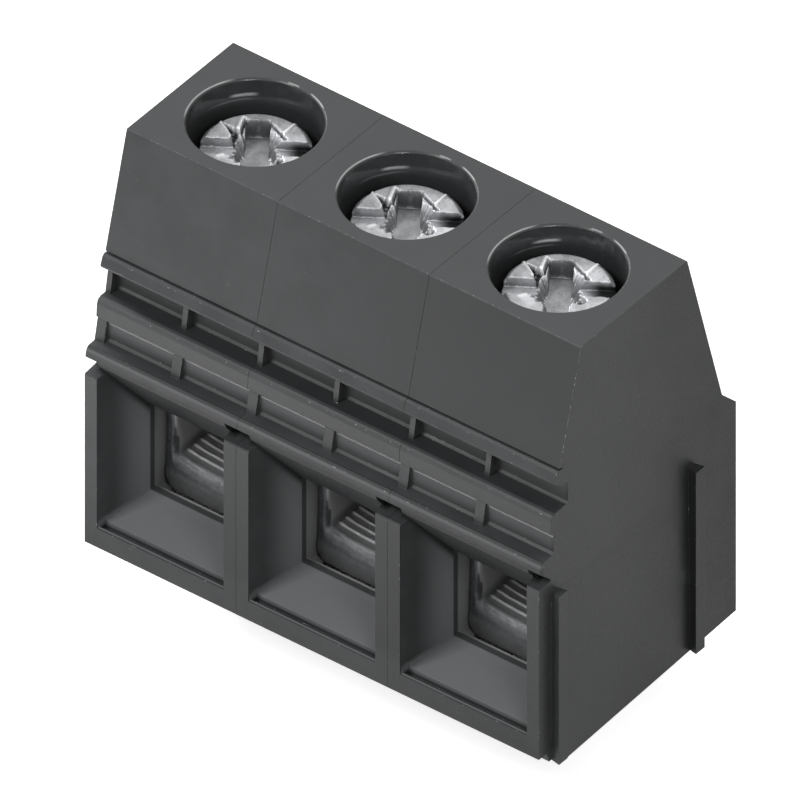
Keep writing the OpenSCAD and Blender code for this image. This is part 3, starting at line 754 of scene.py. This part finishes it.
def headDepth(x, y, p, lot):
    # depth below the land = the deepest of slot, arm and core, then the small torn places
    def within(half, value):
        return np.clip((half - np.abs(value)) / p["wallRun"] + 0.5, 0, 1)

    def near(depth, level):
        return np.clip(1 - np.abs(depth - level) / p["floorSpan"], 0, 1)
    r, angle = np.hypot(x, y), np.arctan2(y, x)
    waveX, waveY = p["wobbleWaves"]
    wobble = p["wobble"] * np.sin(waveX * x + lot) * np.sin(waveY * y + 2 * lot)
    slot = p["slotDepth"] * within(p["slotHalf"] + wobble, y)
    arm = p["armDepth"] * (within(p["armHalf"] + wobble, x) * within(p["armLength"], y))
    fluted = r + p["fluteDepth"] * np.cos(p["flutes"] * angle + lot)
    core = p["armDepth"] * np.clip((p["coreRadius"] - fluted) / (p["coreRadius"] - p["coreFoot"]), 0, 1)
    depth = np.maximum(np.maximum(slot, arm), core)

    scratches = strips(x, y, p["scratches"])
    torn = np.maximum(chipped(x, y, p["chip"], p["chipEdge"]), strips(x, y, p["tears"]))
    land = depth < p["landDepth"]
    # scratches on the land drawn near white: wear with a painted highlight
    burnishAndLight = np.clip(scratches, 0, 1) * land * (1 - np.clip(2 * torn, 0, 1))
    floors = np.maximum(near(depth, p["armDepth"]), near(depth, p["slotDepth"]))
    # painted shade down in the recess, lighter on its floors
    sunk = softStep((depth - p["sunkFrom"]) / p["sunkFade"]) * (1 - p["floorShine"] * floors)
    # dirt and painted shade in the torn places, painted shade in one end of the slot and against the arm's
    # far wall
    d = p["dirtAndShade"]
    mean, swing = d["patchy"]
    (aX, aY), (bX, bY) = d["patchyWaves"]
    patchy = mean + swing * np.sin(aX * x + aY * y + lot) * np.sin(bX * x + bY * y + 2 * lot)
    slotEnd = (softStep((x - d["endFrom"]) / d["endFade"])
               * softStep((depth - p["sunkFrom"]) / d["depthFade"]))
    farWall = (np.clip((p["armHalf"] + d["wallSide"] - np.abs(x)) / d["wallSide"], 0, 1)
               * np.clip(d["wallCore"]
                         - np.abs(y - p["armLength"] + d["wallInset"]) / d["wallWidth"], 0, 1))
    grimeAndShade = np.maximum.reduce([np.clip(d["inTears"] * torn * patchy, 0, 1), slotEnd, d["onWall"] * farWall])
    depth = np.maximum(depth, p["tearDepth"] * torn) + p["scratchDepth"] * burnishAndLight
    return depth, {"burnishAndLight": burnishAndLight, "sunk": sunk, "grimeAndShade": grimeAndShade}


def makeScrew(name, axis, body, node, p, lot):
    x, y = headPlane(p)
    depth, marksLightAndShade = headDepth(x, y, p, lot)
    r = np.hypot(x, y)
    z = p["headTop"] - depth - np.maximum(r - p["headRadius"] + p["chamfer"], 0) * (depth < p["chamfer"])
    turned = np.stack([axis + x * math.cos(p["turn"]) - y * math.sin(p["turn"]),
                       x * math.sin(p["turn"]) + y * math.cos(p["turn"]), z], -1)
    rows, columns = x.shape
    number = np.arange(rows * columns).reshape(rows, columns)
    top = np.stack([number[:-1, :-1], number[1:, :-1], number[1:, 1:], number[:-1, 1:]], -1).reshape(-1, 4)
    # the grid's border, all round, carried down the side of the head to its underside
    border = np.concatenate([number[:-1, 0], number[-1, :-1], number[:0:-1, -1], number[0, :0:-1]])
    rim = turned.reshape(-1, 3)[border]
    under = p["headTop"] - p["headHeight"]
    share = p["undersideShare"]
    skirt = [rim * [1, 1, 0] + [0, 0, under], (rim - [axis, 0, 0]) * [share, share, 0] + [axis, 0, under]]
    points = np.concatenate([turned.reshape(-1, 3)] + skirt)
    n, first = len(border), rows * columns
    step = np.arange(n)
    nextStep = (step + 1) % n
    side = np.stack([border[nextStep], border[step], first + step, first + nextStep], -1)
    underside = np.stack([first + nextStep, first + step, first + n + step, first + n + nextStep], -1)
    flat = list(range(first + 2 * n - 1, first + n - 1, -1))
    faces = np.concatenate([top, side, underside]).tolist() + [flat]
    # shank: radius = shankRadius - threadDepth * |2 frac(z / threadStep + angle / turn) - 1|, narrower at
    # its tip and closed by a flat at both ends
    levels, sides = p["shankLevels"], p["shankSides"]
    around = np.linspace(0, 2 * math.pi, sides, endpoint=False)[None, :]
    level = np.linspace(under + p["shankStart"], p["shankEnd"], levels)[:, None]
    thread = np.abs(2 * ((level / p["threadStep"] + around / (2 * math.pi)) % 1) - 1)
    tip = np.clip((p["shankEnd"] + p["tipLength"] - level) / p["tipLength"], 0, 1)
    radius = np.minimum(p["shankRadius"] - p["threadDepth"] * thread,
                        p["shankRadius"] - (p["shankRadius"] - p["tipRadius"]) * tip)
    rod = np.stack([axis + radius * np.cos(around), radius * np.sin(around), level + 0 * around], -1)
    start = len(points)
    points = np.concatenate([points, rod.reshape(-1, 3)])
    end = len(points)
    faces += gridFaces(levels, sides, start, closedRows=False).tolist()
    faces += [list(range(start, start + sides)), list(range(end - 1, end - sides - 1, -1))]
    piece = addPiece(name, points, faces, body, node, screwSteel)
    for markName, values in marksLightAndShade.items():
        storeMarks(piece, markName, np.concatenate([values.ravel(), np.zeros(end - rows * columns)]))


for pole, (axis, lift) in enumerate(zip((-pitch, 0.0, pitch), screw["lifts"]), 1):
    makeYoke(f"yokeVisual{pole}", axis, f"yoke_{pole}", f"clamp_yoke_{pole}", yoke)
    makeScrew(f"screwVisual{pole}", axis, f"screw_{pole}", f"clamp_screw_{pole}",
              {**screw, "headTop": screw["headTop"] + lift}, pole)
print("yokes and screws built")


# Floor, backdrop and lamps
studio = {
    "floorZ": -4.0 * mm, "floorHalf": 0.6, "paper": "#d8d8d8",
    "paperGlow": 0.45, "paperSeen": 0.8,  # how bright the paper is in reflections and in the picture
    "skyForSurfaces": 0.15,               # plain light from all round
    "aim": (0.0, 0.0, 12 * mm),
    "lamps": [
        # name, azimuth, elevation, distance, side, watts
        ("highBox", -20, 48, 0.30, 0.08, 0.40),
        ("leftBox", -100, 30, 0.30, 0.08, 0.64),
        ("cameraBox", 54, 40, 0.30, 0.08, 0.18),
        ("backBox", 150, 45, 0.30, 0.08, 0.09),
    ],
    # a white card lying in front on the table throws light up at the ribs:
    # azimuth, distance, height, side, watts
    "card": (-24, 0.055, -3.5 * mm, 0.05, 0.016),
}


def seenDirectly(tree):
    # rays that come straight from the camera, and all that see the white paper as their background
    rays = addNode(tree, "ShaderNodeLightPath").outputs
    camera = rays["Is Camera Ray"]
    return camera, largest(tree, rays["Is Glossy Ray"], rays["Is Transmission Ray"], camera)


def makeFloor(s):
    h, z = s["floorHalf"], s["floorZ"]
    mesh = bpy.data.meshes.new("studioFloor")
    mesh.from_pydata([(-h, -h, z), (h, -h, z), (h, h, z), (-h, h, z)], [], [(0, 1, 2, 3)])
    floor = addObject("studioFloor", mesh)
    material = bpy.data.materials.new("whitePaperFloor")
    material.use_nodes = True
    tree = material.node_tree
    tree.nodes.clear()
    camera, seen = seenDirectly(tree)
    paper = addNode(tree, "ShaderNodeBsdfDiffuse", values={"Color": linearColour(s["paper"])})
    strength = combine(tree, "ADD", combine(tree, "MULTIPLY", seen, s["paperGlow"]),
                       combine(tree, "MULTIPLY", camera, s["paperSeen"] - s["paperGlow"]))
    glow = addNode(tree, "ShaderNodeEmission", {"Strength": strength}, {"Color": (1, 1, 1, 1)})
    both = addNode(tree, "ShaderNodeAddShader", {0: paper.outputs[0], 1: glow.outputs[0]})
    addNode(tree, "ShaderNodeOutputMaterial", {"Surface": both.outputs[0]})
    mesh.materials.append(material)


def makeWorld(s):
    world = bpy.data.worlds.new("studioWorld")
    bpy.context.scene.world = world
    world.use_nodes = True
    tree = world.node_tree
    tree.nodes.clear()
    seen = seenDirectly(tree)[1]
    strength = stretch(tree, seen, 0.0, 1.0, s["skyForSurfaces"], 1.0)
    sky = addNode(tree, "ShaderNodeBackground", {"Strength": strength}, {"Color": (1, 1, 1, 1)})
    addNode(tree, "ShaderNodeOutputWorld", {"Surface": sky.outputs[0]})


def makeAreaLight(name, side, watts):
    data = bpy.data.lights.new(name, "AREA")
    data.shape, data.size, data.energy = "SQUARE", side, watts
    return addObject(name, data)


def makeLamp(name, azimuth, elevation, distance, side, watts):
    back = directionTo(azimuth, elevation)
    lamp = makeAreaLight(name, side, watts)
    lamp.location = Vector(studio["aim"]) + back * distance
    lookBack(lamp, back)


def makeCard(azimuth, distance, height, side, watts):
    a = math.radians(azimuth)
    card = makeAreaLight("tableCard", side, watts)
    card.location = (math.sin(a) * distance, -math.cos(a) * distance, height)
    card.rotation_euler = (math.pi, 0, a)
    card.visible_camera = False


makeFloor(studio)
makeWorld(studio)
for lampSettings in studio["lamps"]:
    makeLamp(*lampSettings)
makeCard(*studio["card"])
bpy.context.scene.view_settings.view_transform = "Standard"
print("studio lit")
